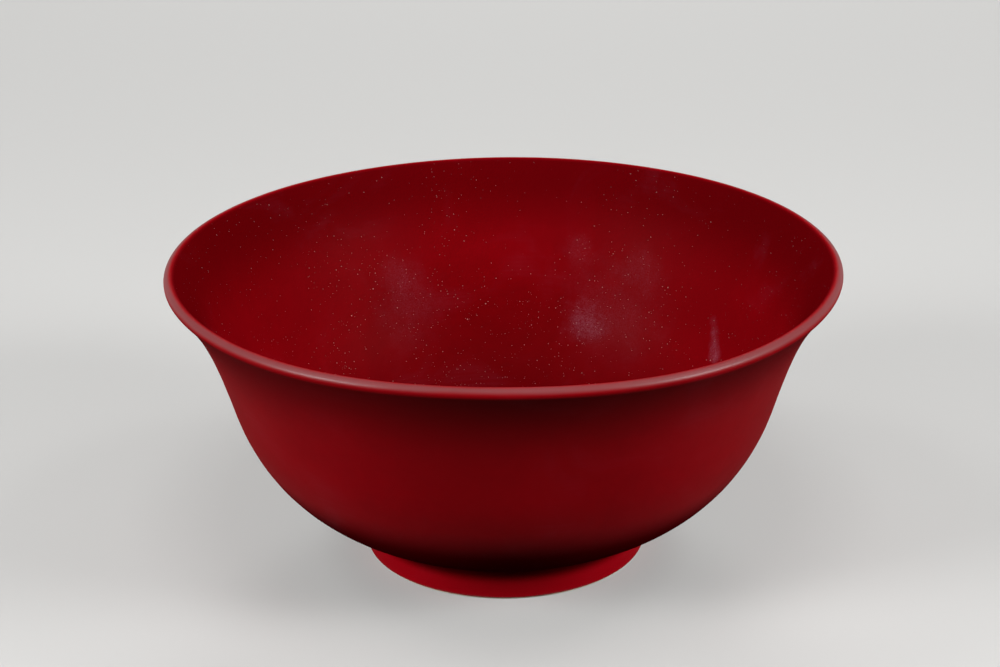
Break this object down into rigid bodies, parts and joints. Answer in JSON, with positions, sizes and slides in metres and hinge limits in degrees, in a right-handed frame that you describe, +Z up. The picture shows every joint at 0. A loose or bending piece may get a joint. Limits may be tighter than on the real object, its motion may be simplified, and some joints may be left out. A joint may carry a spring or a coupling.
{
  "type": "porcelain bowl",
  "caption": "Deep red glazed porcelain bowl with a rounded belly, flared lip and low ring foot; holds food or liquid.",
  "frame": {"origin": "on the ground plane, at the centre of the foot ring", "axes": "+Z up along the bowl's axis of rotation; +X and +Y are level and alike"},
  "size_m": [0.184, 0.184, 0.084],
  "materials": {
    "porcelain": "bare fired porcelain, matt, warm off-white",
    "red_glaze": "deep red monochrome glaze, satin to glossy",
    "lip_glaze": "the same red glaze run thin over the lip, a little paler",
    "clear_glaze": "clear glaze over white porcelain, glossy"
  },
  "bodies": {
    "root": {"bowl_body": "porcelain", "foot_ring": "porcelain", "inner_glaze": "red_glaze", "outer_glaze": "red_glaze", "lip_glaze": "lip_glaze", "foot_glaze": "red_glaze", "base_glaze": "clear_glaze"}
  },
  "joints": []
}
